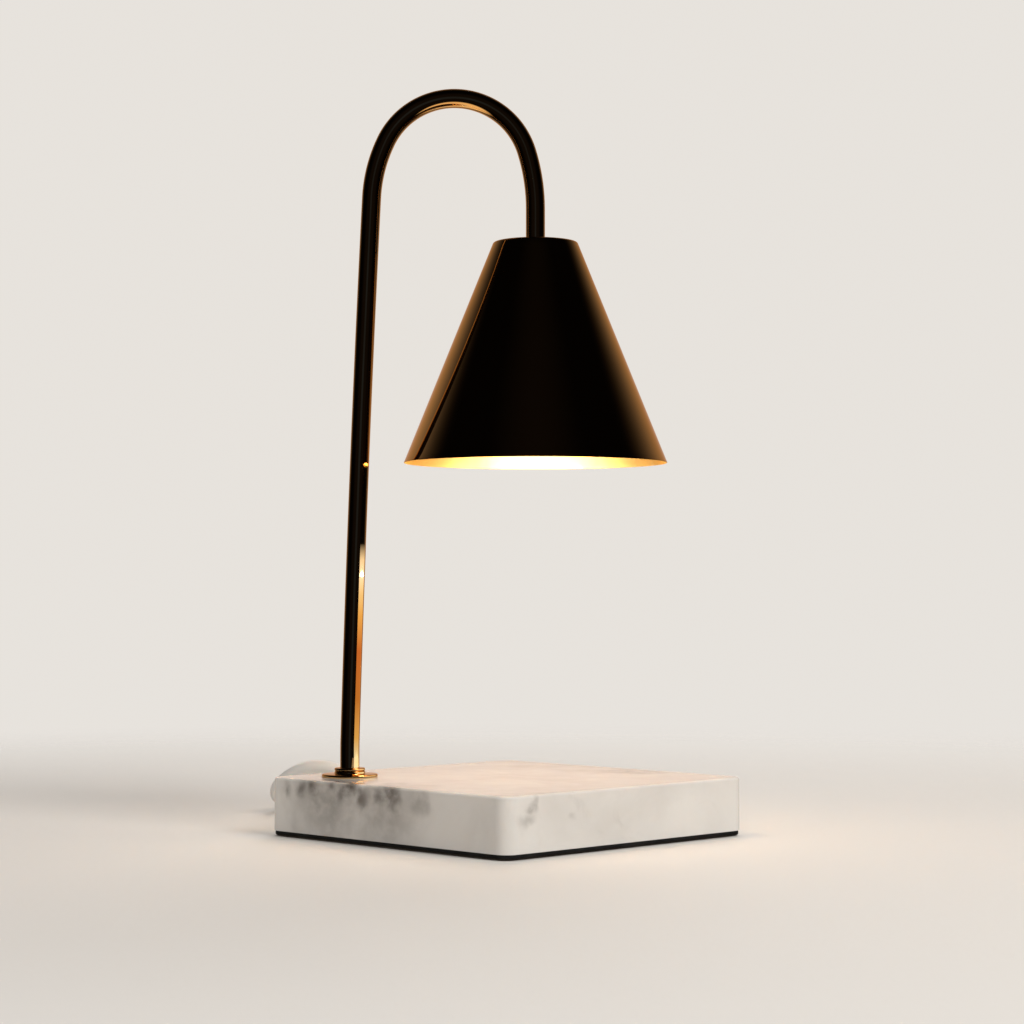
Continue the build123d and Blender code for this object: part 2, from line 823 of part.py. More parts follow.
def half_shell(shell, closed_z, side):
    """Half of the case, from its closed face to the split; side is 1 for the top half."""
    with BuildSketch(dimmer_frame.offset(closed_z)) as outside:
        RectangleRounded(dimmer_length, dimmer_width, dimmer_corner_radius)
    extrude(outside.sketch, amount=-side * split_height)
    closed_face = shell.faces().sort_by(Axis.Z)[-1 if side > 0 else 0]
    fillet(closed_face.edges(), dimmer_edge_radius)
    inner_z = closed_z - side * dimmer_wall
    with BuildSketch(dimmer_frame.offset(inner_z)) as inside:
        RectangleRounded(inner_length, inner_width, dimmer_corner_radius - dimmer_wall)
    extrude(inside.sketch, amount=-side * (split_height - dimmer_wall), mode=Mode.SUBTRACT)
    round_on_dimmer(screw_places, dimmer_boss_diameter, inner_z, -side * (split_height - dimmer_wall))
    for end in (-1, 1):
        with BuildSketch(dimmer_end(end, 0)) as cord_hole:
            Circle(sleeve_neck_diameter / 2)
        extrude(cord_hole.sketch, amount=-dimmer_wall, mode=Mode.SUBTRACT)
    wheel_slot = wheel_thickness + 2 * free_clearance
    slot_bottom = wheel_bottom - free_clearance
    round_on_dimmer([(0, wheel_back)], 2 * wheel_space, slot_bottom, wheel_slot, Mode.SUBTRACT)


screw_hole = screw_diameter + 2 * fit_clearance
head_hole = screw_head_diameter + 2 * fit_clearance
head_depth = screw_head_height + free_clearance
spindle_bore = spindle_diameter + 2 * running_clearance
guide_length = wheel_top + free_clearance - dimmer_height + dimmer_wall

with BuildPart() as dimmer_case_bottom:
    half_shell(dimmer_case_bottom, 0, -1)
    round_on_dimmer([(-post_x, -post_y), (post_x, -post_y)], board_post_diameter, dimmer_wall, board_stand)
    round_on_dimmer(screw_places, screw_hole, 0, split_height, Mode.SUBTRACT)
    round_on_dimmer(screw_places, head_hole, 0, head_depth, Mode.SUBTRACT)
finish(dimmer_case_bottom, "dimmer_case_bottom")

with BuildPart() as dimmer_case_top:
    half_shell(dimmer_case_top, dimmer_height, 1)
    inner_z = dimmer_height - dimmer_wall
    round_on_dimmer([(0, wheel_back)], spindle_diameter + 2 * dimmer_wall, inner_z, guide_length)
    round_on_dimmer([(0, wheel_back)], spindle_bore, inner_z, guide_length, Mode.SUBTRACT)
    round_on_dimmer(screw_places, screw_diameter, split_height, dimmer_screw_bite, Mode.SUBTRACT)
finish(dimmer_case_top, "dimmer_case_top")

dimmer_screws = screws(
    screw_places, dimmer_frame.offset(head_depth), split_height - head_depth + dimmer_screw_bite
)
finish(dimmer_screws, "dimmer_screws")

with BuildPart() as dimmer_wheel:
    with BuildSketch(dimmer_frame.offset(wheel_bottom)):
        with Locations((0, wheel_back)):
            Circle(wheel_diameter / 2)
            with PolarLocations(wheel_diameter / 2, wheel_teeth):
                Circle(wheel_tooth_depth, mode=Mode.SUBTRACT)
            Circle(spindle_diameter / 2, mode=Mode.SUBTRACT)
    extrude(amount=wheel_thickness)
finish(dimmer_wheel, "dimmer_wheel")

pot_top = dimmer_wall + pot_height
socket_floor = pot_top - pot_socket_depth
spindle_bottom = socket_floor + free_clearance
spindle_top = dimmer_height - dimmer_wall - free_clearance
with BuildPart() as dimmer_spindle:
    round_on_dimmer([(0, wheel_back)], spindle_diameter, spindle_bottom, spindle_top - spindle_bottom)
finish(dimmer_spindle, "dimmer_spindle")

with BuildPart() as dimmer_pot:
    round_on_dimmer([(0, wheel_back)], pot_diameter, dimmer_wall, pot_height)
    round_on_dimmer([(0, wheel_back)], spindle_bore, socket_floor, pot_socket_depth, Mode.SUBTRACT)
finish(dimmer_pot, "dimmer_pot")

boss_clearance = dimmer_boss_diameter + 2 * board_hole_clearance
with BuildPart() as dimmer_board:
    with BuildSketch(dimmer_frame.offset(board_bottom)):
        Rectangle(board_length, board_width)
        with Locations(*screw_places):
            Circle(boss_clearance / 2, mode=Mode.SUBTRACT)
        with Locations((0, wheel_back)):
            Circle(pot_diameter / 2, mode=Mode.SUBTRACT)
    extrude(amount=board_thickness)
finish(dimmer_board, "dimmer_board")

for part_name, size, across in (("dimmer_triac", triac_size, -1), ("dimmer_capacitor", capacitor_size, 1)):
    part_centre = across * (wheel_space + size[0] / 2 + free_clearance)
    with BuildPart() as board_part:
        with BuildSketch(dimmer_frame.offset(board_top)):
            with Locations((part_centre, -board_part_offset)):
                RectangleRounded(size[0], size[1], board_part_radius)
        extrude(amount=size[2])
    finish(board_part, part_name)

with BuildPart() as dimmer_sleeves:
    for end in (-1, 1):
        with BuildSketch(dimmer_end(end, 0)):
            Circle(sleeve_root_diameter / 2)
        with BuildSketch(dimmer_end(end, sleeve_length)):
            Circle(sleeve_tip_diameter / 2)
        loft()
        with BuildSketch(dimmer_end(end, -dimmer_wall)):
            Circle(sleeve_neck_diameter / 2)
        extrude(amount=dimmer_wall)
        with BuildSketch(dimmer_end(end, sleeve_length)):
            Circle(cord_radius)
        extrude(amount=-sleeve_length - dimmer_wall, mode=Mode.SUBTRACT)
finish(dimmer_sleeves, "dimmer_sleeves")

with BuildPart() as dimmer_cord_ends:
    for end in (-1, 1):
        with BuildSketch(dimmer_end(end, sleeve_length)):
            Circle(cord_radius)
        extrude(amount=-sleeve_length - dimmer_wall - dimmer_jacket_inside)
finish(dimmer_cord_ends, "dimmer_cord_ends")

# ======== plug ========

plug_plane = Plane(
    origin=(plug_tail_centre[0], plug_tail_centre[1], plug_body_height / 2),
    x_dir=(-sin(radians(plug_heading)), cos(radians(plug_heading)), 0),
    z_dir=(cos(radians(plug_heading)), sin(radians(plug_heading)), 0),
)

with BuildPart() as plug_body:
    with BuildSketch(plug_plane):
        Circle(sleeve_tip_diameter / 2)
    with BuildSketch(plug_plane.offset(plug_relief_length)):
        Circle(sleeve_root_diameter / 2)
    loft()
    with BuildSketch(plug_plane.offset(plug_relief_length)):
        RectangleRounded(plug_neck_width, plug_neck_height, plug_neck_radius)
    with BuildSketch(plug_plane.offset(plug_relief_length + plug_shoulder_length)):
        RectangleRounded(plug_body_width, plug_body_height, plug_body_radius)
    loft()
    with BuildSketch(plug_plane.offset(plug_relief_length + plug_shoulder_length)):
        RectangleRounded(plug_body_width, plug_body_height, plug_body_radius)
    extrude(amount=plug_body_length - plug_shoulder_length)
    front_face = plug_body.faces().sort_by(Axis(plug_plane.origin, plug_plane.z_dir))[-1]
    fillet(front_face.edges(), plug_edge_radius)
    with BuildSketch(plug_plane.offset(plug_relief_length + plug_body_length)):
        with Locations((-blade_spacing / 2, 0), (blade_spacing / 2, 0)):
            Rectangle(blade_thickness, blade_width)
    extrude(amount=-blade_root, mode=Mode.SUBTRACT)
finish(plug_body, "plug_body")

with BuildPart() as plug_blades:
    with BuildSketch(plug_plane.offset(plug_relief_length + plug_body_length - blade_root)):
        with Locations((-blade_spacing / 2, 0), (blade_spacing / 2, 0)):
            Rectangle(blade_thickness, blade_width)
    extrude(amount=blade_root + blade_length)
finish(plug_blades, "plug_blades")

# ======== cord: a run to the dimmer, a run to the coil, the coil, and a run to the plug ========

coil_floor = tie_thickness + fit_clearance
coil_inner_turn_radius = coil_outer_turn_radius - coil_turns_per_layer * cord_diameter
coil_inside = coil_inner_turn_radius - cord_radius
coil_outside = coil_outer_turn_radius + cord_radius
coil_height = 2 * cord_diameter
low_turn = coil_floor + cord_radius
high_turn = low_turn + cord_diameter


def on_coil(angle, height):
    """A point on the coil's outermost turn."""
    return (
        coil_centre[0] + coil_outer_turn_radius * cos(radians(angle)),
        coil_centre[1] + coil_outer_turn_radius * sin(radians(angle)),
        height,
    )


def beyond(plane, distance):
    """The point at a distance along a plane's normal, for a run straight out of a piece."""
    return tuple(plane.offset(distance).origin)


grommet_face = back_face.offset(grommet_length_outside)
lamp_side_route = [
    beyond(grommet_face, 0),
    beyond(grommet_face, cord_exit_run),
    (-67.5, 74.3, 17.8),
    (-80.5, 77.5, 23.0),
    (-96.0, 82.5, 20.6),
    (-107.2, 95.0, 11.5),
    (-109.6, 111.5, 4.4),
    (-105.5, 125.5, 3.5),
    (-96.5, 135.0, 5.0),
    beyond(dimmer_end(-1, sleeve_length), dimmer_run_in),
    beyond(dimmer_end(-1, sleeve_length), 0),
]
cord_lamp_side, lamp_side_length = cord_tube("cord_lamp_side", lamp_side_route)
finish(cord_lamp_side, "cord_lamp_side")

plug_side_route = [
    beyond(dimmer_end(1, sleeve_length), 0),
    beyond(dimmer_end(1, sleeve_length), dimmer_run_out),
    (27.2, 176.0, 4.2),
    on_coil(coil_start_angle, low_turn),
]
cord_plug_side, plug_side_length = cord_tube("cord_plug_side", plug_side_route)
finish(cord_plug_side, "cord_plug_side")

plug_end_route = [
    on_coil(coil_end_angle, high_turn),
    (93.0, 124.5, 9.5),
    beyond(plug_plane, -plug_run_in),
    beyond(plug_plane, 0),
]
cord_plug_end, plug_end_length = cord_tube("cord_plug_end", plug_end_route)
finish(cord_plug_end, "cord_plug_end")

coil_plane = Plane(origin=(*coil_centre, coil_floor), x_dir=(1, 0, 0), z_dir=(0, -1, 0))
coil_middle = (coil_inside + coil_outside) / 2
coil_width = coil_outside - coil_inside

with BuildPart() as cord_coil:
    with BuildSketch(coil_plane):
        with Locations((coil_middle, coil_height / 2)):
            RectangleRounded(coil_width, coil_height, coil_edge_radius)
    revolve(axis=Axis(coil_plane.origin, (0, 0, 1)))
finish(cord_coil, "cord_coil")

tie_across = (cos(radians(tie_angle)), sin(radians(tie_angle)), 0)
tie_plane = Plane(
    origin=(
        coil_centre[0] + coil_middle * tie_across[0],
        coil_centre[1] + coil_middle * tie_across[1],
        coil_floor + coil_height / 2,
    ),
    x_dir=tie_across,
    z_dir=(-tie_across[1], tie_across[0], 0),
)
inner_bow = coil_inside - sqrt(coil_inside**2 - (tie_width / 2) ** 2)
band_width = coil_width + inner_bow + 2 * fit_clearance
band_height = coil_height + 2 * fit_clearance
with BuildPart() as coil_tie:
    with BuildSketch(tie_plane.offset(-tie_width / 2)):
        with Locations((-inner_bow / 2, 0)):
            RectangleRounded(
                band_width + 2 * tie_thickness, band_height + 2 * tie_thickness, tie_corner_radius
            )
            RectangleRounded(
                band_width, band_height, tie_corner_radius - tie_thickness, mode=Mode.SUBTRACT
            )
    extrude(amount=tie_width)
finish(coil_tie, "coil_tie")

layer_turns = 2 * coil_turns_per_layer
rise_turns = (coil_start_angle - coil_end_angle) / 360
layer_radius = (coil_outer_turn_radius + coil_inner_turn_radius) / 2
coil_length = 2 * pi * (layer_turns * layer_radius + rise_turns * coil_inner_turn_radius)
free_length = lamp_side_length + plug_side_length + coil_length + plug_end_length
print(f"{len(made)} sub-parts; coil {coil_length:.0f} mm of cord, {free_length:.0f} mm in all")
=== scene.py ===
import math

import bmesh
import bpy
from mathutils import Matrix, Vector


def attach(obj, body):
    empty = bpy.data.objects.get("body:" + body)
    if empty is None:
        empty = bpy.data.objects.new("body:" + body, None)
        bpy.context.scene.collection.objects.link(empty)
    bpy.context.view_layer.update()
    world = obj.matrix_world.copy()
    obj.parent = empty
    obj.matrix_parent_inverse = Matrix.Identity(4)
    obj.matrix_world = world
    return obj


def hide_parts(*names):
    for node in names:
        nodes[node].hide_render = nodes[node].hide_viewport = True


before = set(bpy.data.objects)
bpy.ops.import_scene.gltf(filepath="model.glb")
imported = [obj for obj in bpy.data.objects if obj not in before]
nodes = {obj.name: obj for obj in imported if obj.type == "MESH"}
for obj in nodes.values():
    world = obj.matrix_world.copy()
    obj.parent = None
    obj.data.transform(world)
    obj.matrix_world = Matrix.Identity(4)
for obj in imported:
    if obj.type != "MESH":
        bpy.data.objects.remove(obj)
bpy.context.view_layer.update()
print("frame loaded:", len(nodes), "nodes")

# camera

cameraValues = {
    "place": (0.0021, -1.0294, 0.1043),
    "pitchUp": 1.66,    # degrees above level
    "lens": 86.8,
    "sensor": 36,
}


def makeCamera(values):
    data = bpy.data.cameras.new("productCamera")
    data.lens = values["lens"]
    data.sensor_width = values["sensor"]
    camera = bpy.data.objects.new("productCamera", data)
    camera.location = values["place"]
    camera.rotation_euler = (math.radians(90 + values["pitchUp"]), 0, 0)
    bpy.context.scene.collection.objects.link(camera)
    bpy.context.scene.camera = camera


makeCamera(cameraValues)
print("camera placed")

# cords: base to dimmer, and dimmer to coil and plug

lampCordValues = {
    "radius": 0.003,
    "exit": (-0.0495, 0.0608, 0.014),
    "length": 0.143,
    "route": [
        (-0.0481, 0.0594, 0.0140),
        (-0.0573, 0.0686, 0.0140),
        (-0.0675, 0.0735, 0.0178),
        (-0.0800, 0.0765, 0.0228),
        (-0.0925, 0.0820, 0.0215),
        (-0.1035, 0.0910, 0.0140),
        (-0.1060, 0.1010, 0.0078),
        (-0.1030, 0.1165, 0.0034),
        (-0.0960, 0.1315, 0.0044),
        (-0.0837, 0.1395, 0.0070),
        (-0.0696, 0.1447, 0.0070),
    ],
}

plugCordValues = {
    "radius": 0.003,
    "exit": (0.0055, 0.1720, 0.0070),
    "length": 1.63,
    "intoCoil": [
        (0.0036, 0.1713, 0.0070),
        (0.0149, 0.1754, 0.0070),
        (0.0272, 0.1760, 0.0042),
    ],
    "coilCentre": (0.048, 0.135),
    "outerTurn": 0.045,
    "innerTurn": 0.024,
    "turnsPerLayer": 3.5,
    "startAngle": 105,
    "lowTurn": 0.0037,
    "highTurn": 0.0097,
    "pointsPerTurn": 24,
    "intoPlug": [
        (0.0930, 0.1245, 0.0095),
        (0.0914, 0.1145, 0.0075),
        (0.0903, 0.1020, 0.0075),
    ],
}


def coilPoints(values):
    # two flat layers wound clockwise: inwards on the table, up, and outwards on top
    outer, inner = values["outerTurn"], values["innerTurn"]
    low, high = values["lowTurn"], values["highTurn"]
    layers = [
        # turns, first and last radius, first and last height
        (values["turnsPerLayer"], outer, inner, low, low),
        (values["startAngle"] / 360, inner, inner, low, high),
        (values["turnsPerLayer"], inner, outer, high, high),
    ]
    centreX, centreY = values["coilCentre"]
    points = []

    def addPoint(turned, radius, height):
        angle = math.radians(values["startAngle"] - 360 * turned)
        points.append((
            centreX + radius * math.cos(angle), centreY + radius * math.sin(angle), height,
        ))

    turned = 0
    for turns, startRadius, endRadius, startHeight, endHeight in layers:
        steps = math.ceil(turns * values["pointsPerTurn"])
        for step in range(steps):
            part = step / steps
            addPoint(
                turned + turns * part,
                startRadius + (endRadius - startRadius) * part,
                startHeight + (endHeight - startHeight) * part,
            )
        turned += turns
    addPoint(turned, outer, high)
    return points


cordSurface = {"roundness": 7, "smoothness": 8, "order": 3}


def makeCord(name, points, radius):
    curve = bpy.data.curves.new(name, "CURVE")
    curve.dimensions = "3D"
    curve.bevel_depth = 1.0    # times each point's radius
    curve.bevel_resolution = cordSurface["roundness"]
    curve.resolution_u = cordSurface["smoothness"]
    curve.use_fill_caps = True
    spline = curve.splines.new("NURBS")
    spline.points.add(len(points) - 1)
    for point, place in zip(spline.points, points):
        point.co = (*place, 1)
        point.radius = radius
    spline.order_u = cordSurface["order"]
    spline.use_endpoint_u = True
    cord = bpy.data.objects.new(name, curve)
    bpy.context.scene.collection.objects.link(cord)
    return cord


lampCord = makeCord("lampCord", lampCordValues["route"], lampCordValues["radius"])
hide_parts("cord_lamp_side")
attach(lampCord, "lamp")

plugRoute = plugCordValues["intoCoil"] + coilPoints(plugCordValues) + plugCordValues["intoPlug"]
plugCord = makeCord("plugCord", plugRoute, plugCordValues["radius"])
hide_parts("cord_plug_side", "cord_coil", "cord_plug_end")
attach(plugCord, "lamp")
print("cords laid")

# shader groups shared by several finishes


def newGroup(name, inputs, outputs):
    group = bpy.data.node_groups.new(name, "ShaderNodeTree")
    for label, kind, value in inputs:
        socket = group.interface.new_socket(label, in_out="INPUT", socket_type=kind)
        socket.default_value = value
    for label, kind in outputs:
        group.interface.new_socket(label, in_out="OUTPUT", socket_type=kind)
    return group, group.nodes.new("NodeGroupInput"), group.nodes.new("NodeGroupOutput")


def addNode(tree, kind, **settings):
    node = tree.nodes.new(kind)
    for name, value in settings.items():
        setattr(node, name, value)
    return node


def noiseNode(tree, place, scale, detail=4.0, roughness=0.55, distortion=0.0):
    noise = tree.nodes.new("ShaderNodeTexNoise")
    tree.links.new(place, noise.inputs["Vector"])
    if isinstance(scale, (int, float)):
        noise.inputs["Scale"].default_value = scale
    else:
        tree.links.new(scale, noise.inputs["Scale"])
    noise.inputs["Detail"].default_value = detail
    noise.inputs["Roughness"].default_value = roughness
    noise.inputs["Distortion"].default_value = distortion
    return noise.outputs["Fac"]


def rangeNode(tree, value, fromLow, fromHigh, toLow=0.0, toHigh=1.0, smooth=False):
    node = tree.nodes.new("ShaderNodeMapRange")
    if smooth:
        node.interpolation_type = "SMOOTHSTEP"
    tree.links.new(value, node.inputs["Value"])
    for label, setting in (
        ("From Min", fromLow), ("From Max", fromHigh), ("To Min", toLow), ("To Max", toHigh),
    ):
        if isinstance(setting, (int, float)):
            node.inputs[label].default_value = setting
        else:
            tree.links.new(setting, node.inputs[label])
    return node.outputs["Result"]


def mathNode(tree, operation, first, second, clamp=False):
    node = addNode(tree, "ShaderNodeMath", operation=operation, use_clamp=clamp)
    for socket, value in zip(node.inputs, (first, second)):
        if isinstance(value, (int, float)):
            socket.default_value = value
        else:
            tree.links.new(value, socket)
    return node.outputs["Value"]


def mixColor(tree, factor, first, second):
    node = addNode(tree, "ShaderNodeMix", data_type="RGBA")
    sockets = [s for s in node.inputs if s.enabled]
    for socket, value in zip(sockets, (factor, first, second)):
        if isinstance(value, (int, float)):
            socket.default_value = value
        elif isinstance(value, tuple):
            socket.default_value = (*value[:3], 1)
        else:
            tree.links.new(value, socket)
    return [s for s in node.outputs if s.enabled][0]


handledSurfaceValues = {
    "patchNoise": {"detail": 5, "roughness": 0.6, "distortion": 0.4},
    "patchEdge": (0.4, 0.68),
    "grainDetail": 2,
    "patchShare": 0.7,    # how much of the roughness follows the patches, and how much the grain
    "grainShare": 0.3,
    "roughnessEdge": (0.35, 0.68),
}


def makeHandledSurface(values):
    # soft patches of tone, fine grain and a height, for handled, moulded and plated surfaces
    group, start, end = newGroup(
        "handledSurface",
        [
            ("Color", "NodeSocketColor", (0.8, 0.8, 0.8, 1)),
            ("Patch Color", "NodeSocketColor", (0.7, 0.7, 0.7, 1)),
            ("Patch Scale", "NodeSocketFloat", 30.0),
            ("Grain Scale", "NodeSocketFloat", 900.0),
            ("Roughness Low", "NodeSocketFloat", 0.3),
            ("Roughness High", "NodeSocketFloat", 0.4),
        ],
        [
            ("Color", "NodeSocketColor"),
            ("Roughness", "NodeSocketFloat"),
            ("Height", "NodeSocketFloat"),
        ],
    )
    place = group.nodes.new("ShaderNodeTexCoord").outputs["Object"]
    patches = noiseNode(group, place, start.outputs["Patch Scale"], **values["patchNoise"])
    grain = noiseNode(group, place, start.outputs["Grain Scale"], detail=values["grainDetail"])
    patchMask = rangeNode(group, patches, *values["patchEdge"], smooth=True)
    color = mixColor(group, patchMask, start.outputs["Color"], start.outputs["Patch Color"])
    group.links.new(color, end.inputs["Color"])
    mottled = mathNode(
        group, "ADD",
        mathNode(group, "MULTIPLY", patches, values["patchShare"]),
        mathNode(group, "MULTIPLY", grain, values["grainShare"]),
    )
    roughness = rangeNode(
        group, mottled, *values["roughnessEdge"],
        start.outputs["Roughness Low"], start.outputs["Roughness High"],
    )
    group.links.new(roughness, end.inputs["Roughness"])
    group.links.new(grain, end.inputs["Height"])
    return group


edgeRubValues = {"breakScale": 260.0, "breakDetail": 5, "sharpness": (0.51, 0.58)}


def makeEdgeRub(values):
    # paler colour where the surface turns sharply, from its own curvature
    group, start, end = newGroup(
        "edgeRub",
        [
            ("Color", "NodeSocketColor", (0.8, 0.8, 0.8, 1)),
            ("Edge Color", "NodeSocketColor", (0.9, 0.9, 0.9, 1)),
            ("Amount", "NodeSocketFloat", 0.5),
        ],
        [("Color", "NodeSocketColor")],
    )
    geometry = group.nodes.new("ShaderNodeNewGeometry")
    place = group.nodes.new("ShaderNodeTexCoord").outputs["Object"]
    broken = noiseNode(group, place, values["breakScale"], detail=values["breakDetail"])
    edge = rangeNode(group, geometry.outputs["Pointiness"], *values["sharpness"], smooth=True)
    brokenEdge = mathNode(group, "MULTIPLY", edge, broken)
    mask = mathNode(group, "MULTIPLY", brokenEdge, start.outputs["Amount"], clamp=True)
    color = mixColor(group, mask, start.outputs["Color"], start.outputs["Edge Color"])
    group.links.new(color, end.inputs["Color"])
    return group


groups = {
    "handledSurface": makeHandledSurface(handledSurfaceValues),
    "edgeRub": makeEdgeRub(edgeRubValues),
}

# finishes: each one's values, and the sockets that stay the same all over

finishes = {
    "polishedGold": {
        "group": {
            "Color": (0.83, 0.56, 0.27, 1), "Patch Color": (0.78, 0.5, 0.23, 1),
            "Patch Scale": 16.0, "Grain Scale": 700.0,
            "Roughness Low": 0.025, "Roughness High": 0.06,
        },
        "edge": {"Edge Color": (0.95, 0.74, 0.45, 1), "Amount": 0.4},
        "bump": (0.003, 0.0001),
        "fixed": {"Metallic": 1.0, "Specular Tint": (0.78, 0.58, 0.4, 1)},
    },
    "warmGoldInside": {
        "group": {
            "Color": (0.96, 0.57, 0.17, 1), "Patch Color": (0.92, 0.53, 0.13, 1),
            "Patch Scale": 22.0, "Grain Scale": 900.0,
            "Roughness Low": 0.38, "Roughness High": 0.48,
        },
        "edge": {"Edge Color": (0.98, 0.82, 0.5, 1), "Amount": 0.3},
        "bump": (0.05, 0.0001),
        "fixed": {"Metallic": 1.0, "Specular Tint": (0.95, 0.56, 0.06, 1)},
    },
    "platedSteel": {
        "group": {
            "Color": (0.6, 0.6, 0.59, 1), "Patch Color": (0.5, 0.5, 0.5, 1),
            "Patch Scale": 90.0, "Grain Scale": 1500.0,
            "Roughness Low": 0.24, "Roughness High": 0.42,
        },
        "edge": {"Edge Color": (0.8, 0.8, 0.8, 1), "Amount": 0.6},
        "bump": (0.08, 0.0001),
        "fixed": {"Metallic": 0.8},
    },
    "bareBrass": {
        "group": {
            "Color": (0.78, 0.62, 0.36, 1), "Patch Color": (0.72, 0.55, 0.3, 1),
            "Patch Scale": 120.0, "Grain Scale": 1600.0,
            "Roughness Low": 0.26, "Roughness High": 0.36,
        },
        "edge": {"Edge Color": (0.9, 0.75, 0.46, 1), "Amount": 0.6},
        "bump": (0.05, 0.0001),
        "fixed": {"Metallic": 0.75},
    },
    "brightReflector": {
        "group": {
            "Color": (0.86, 0.84, 0.8, 1), "Patch Color": (0.8, 0.77, 0.7, 1),
            "Patch Scale": 60.0, "Grain Scale": 1200.0,
            "Roughness Low": 0.1, "Roughness High": 0.2,
        },
        "edge": {"Edge Color": (0.92, 0.92, 0.9, 1), "Amount": 0.3},
        "bump": (0.02, 0.0001),
        "fixed": {"Metallic": 1.0},
    },
    "whiteCeramic": {
        "group": {
            "Color": (0.84, 0.81, 0.75, 1), "Patch Color": (0.78, 0.74, 0.67, 1),
            "Patch Scale": 50.0, "Grain Scale": 1400.0,
            "Roughness Low": 0.42, "Roughness High": 0.6,
        },
        "edge": {"Edge Color": (0.88, 0.86, 0.82, 1), "Amount": 0.4},
        "bump": (0.15, 0.0001),
        "fixed": {"Metallic": 0.0},
    },
    "whiteVinyl": {
        "group": {
            "Color": (0.82, 0.81, 0.78, 1), "Patch Color": (0.78, 0.765, 0.73, 1),
            "Patch Scale": 26.0, "Grain Scale": 1100.0,
            "Roughness Low": 0.3, "Roughness High": 0.42,
        },
        "edge": {"Edge Color": (0.85, 0.84, 0.82, 1), "Amount": 0.2},
        "bump": (0.06, 0.0002),
        "fixed": {"Metallic": 0.0, "Subsurface Weight": 0.08, "Subsurface Scale": 0.002},
    },
    "whiteMoulding": {
        "group": {
            "Color": (0.8, 0.79, 0.76, 1), "Patch Color": (0.77, 0.755, 0.72, 1),
            "Patch Scale": 35.0, "Grain Scale": 1800.0,
            "Roughness Low": 0.38, "Roughness High": 0.52,
        },
        "edge": {"Edge Color": (0.85, 0.84, 0.82, 1), "Amount": 0.5},
        "bump": (0.16, 0.0002),
        "fixed": {"Metallic": 0.0},
    },
    "foamRubber": {
        "group": {
            "Color": (0.007, 0.007, 0.0075, 1), "Patch Color": (0.014, 0.0135, 0.0135, 1),
            "Patch Scale": 80.0, "Grain Scale": 1300.0,
            "Roughness Low": 0.72, "Roughness High": 0.92,
        },
        "edge": {"Edge Color": (0.03, 0.03, 0.03, 1), "Amount": 0.5},
        "bump": (0.5, 0.0003),
        "fixed": {"Metallic": 0.0},
    },
    "leadCover": {
        "group": {
            "Color": (0.72, 0.68, 0.58, 1), "Patch Color": (0.6, 0.56, 0.46, 1),
            "Patch Scale": 200.0, "Grain Scale": 2600.0,
            "Roughness Low": 0.6, "Roughness High": 0.8,
        },
        "edge": {"Edge Color": (0.8, 0.78, 0.7, 1), "Amount": 0.2},
        "bump": (0.5, 0.0002),
        "fixed": {"Metallic": 0.0},
    },
    "circuitBoard": {
        "group": {
            "Color": (0.03, 0.12, 0.05, 1), "Patch Color": (0.05, 0.16, 0.07, 1),
            "Patch Scale": 160.0, "Grain Scale": 2000.0,
            "Roughness Low": 0.35, "Roughness High": 0.5,
        },
        "edge": {"Edge Color": (0.3, 0.32, 0.2, 1), "Amount": 0.5},
        "bump": (0.1, 0.0001),
        "fixed": {"Metallic": 0.0},
    },
    "blackMoulding": {
        "group": {
            "Color": (0.02, 0.02, 0.021, 1), "Patch Color": (0.035, 0.035, 0.036, 1),
            "Patch Scale": 120.0, "Grain Scale": 2000.0,
            "Roughness Low": 0.4, "Roughness High": 0.6,
        },
        "edge": {"Edge Color": (0.08, 0.08, 0.08, 1), "Amount": 0.4},
        "bump": (0.12, 0.0001),
        "fixed": {"Metallic": 0.0},
    },
}


def newMaterial(name):
    material = bpy.data.materials.new(name)
    material.use_nodes = True
    tree = material.node_tree
    tree.nodes.clear()
    output = tree.nodes.new("ShaderNodeOutputMaterial")
    shader = tree.nodes.new("ShaderNodeBsdfPrincipled")
    tree.links.new(shader.outputs["BSDF"], output.inputs["Surface"])
    return material, tree, shader


def bumpNode(tree, shader, height, strength, distance):
    bump = tree.nodes.new("ShaderNodeBump")
    bump.inputs["Strength"].default_value = strength
    bump.inputs["Distance"].default_value = distance
    tree.links.new(height, bump.inputs["Height"])
    tree.links.new(bump.outputs["Normal"], shader.inputs["Normal"])


def makeFinish(name, values):
    material, tree, shader = newMaterial(name)
    surface = addNode(tree, "ShaderNodeGroup", node_tree=groups["handledSurface"])
    for label, value in values["group"].items():
        surface.inputs[label].default_value = value
    rub = addNode(tree, "ShaderNodeGroup", node_tree=groups["edgeRub"])
    for label, value in values["edge"].items():
        rub.inputs[label].default_value = value
    tree.links.new(surface.outputs["Color"], rub.inputs["Color"])
    tree.links.new(rub.outputs["Color"], shader.inputs["Base Color"])
    tree.links.new(surface.outputs["Roughness"], shader.inputs["Roughness"])
    bumpNode(tree, shader, surface.outputs["Height"], *values["bump"])
    for label, value in values["fixed"].items():
        shader.inputs[label].default_value = value
    return material


materials = {name: makeFinish(name, values) for name, values in finishes.items()}

